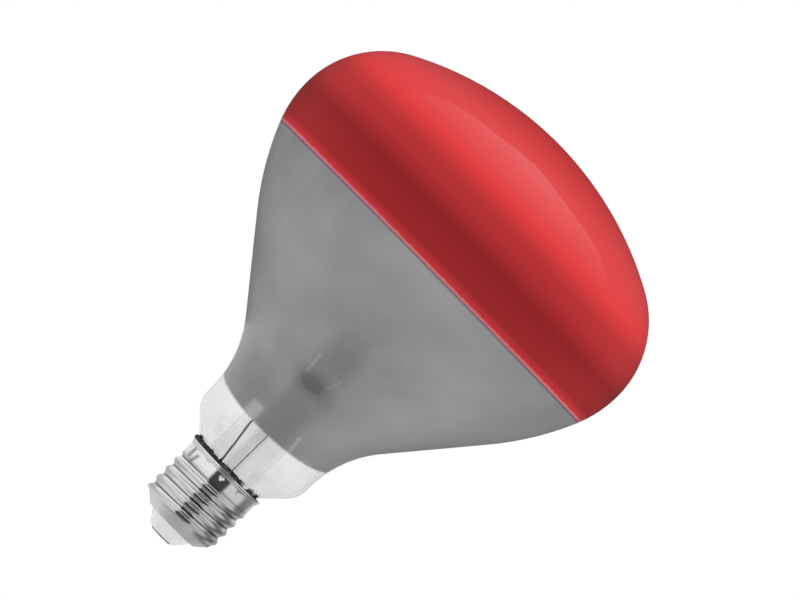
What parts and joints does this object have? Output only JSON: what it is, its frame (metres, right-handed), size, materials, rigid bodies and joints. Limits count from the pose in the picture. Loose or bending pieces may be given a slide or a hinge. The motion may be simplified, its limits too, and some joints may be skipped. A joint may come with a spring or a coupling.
{
  "type": "infrared reflector heat lamp bulb",
  "caption": "Reflector heat lamp: blown bulb with a red lacquered face, mirrored cone and clear neck, glass stem with ring filament, and a rolled right-hand screw cap.",
  "frame": {"origin": "end of the centre contact, on the lamp's axis, where the socket's spring touches it", "axes": "+Z along the lamp's axis from the contact to the middle of the red face; the side solder lies 40 degrees from +X towards +Y, and the gap between the filament's ends faces -Y"},
  "size_m": [0.127, 0.127, 0.1605],
  "materials": {
    "bulb_glass": "gloss",
    "stem_glass": "gloss",
    "lead_nickel": "satin",
    "copper": "satin",
    "dark_lead": "satin",
    "tungsten": "satin",
    "molybdenum": "satin",
    "nickel_plate": "polished",
    "insulator": "gloss",
    "contact_metal": "satin",
    "solder": "satin",
    "cement": "matte"
  },
  "bodies": {
    "root": {"envelope": "bulb_glass", "stem_tube": "stem_glass", "exhaust_tube": "stem_glass", "glass_rod": "stem_glass", "inner_lead_left": "lead_nickel", "inner_lead_right": "lead_nickel", "press_wire_left": "copper", "press_wire_right": "copper", "centre_lead": "dark_lead", "side_lead": "dark_lead", "filament": "tungsten", "filament_hook_1": "molybdenum", "filament_hook_2": "molybdenum", "filament_hook_3": "molybdenum", "filament_hook_4": "molybdenum", "filament_hook_5": "molybdenum", "cap_shell": "nickel_plate", "cap_insulator": "insulator", "centre_contact": "contact_metal", "centre_solder": "solder", "side_solder": "solder", "capping_cement": "cement"}
  },
  "joints": []
}
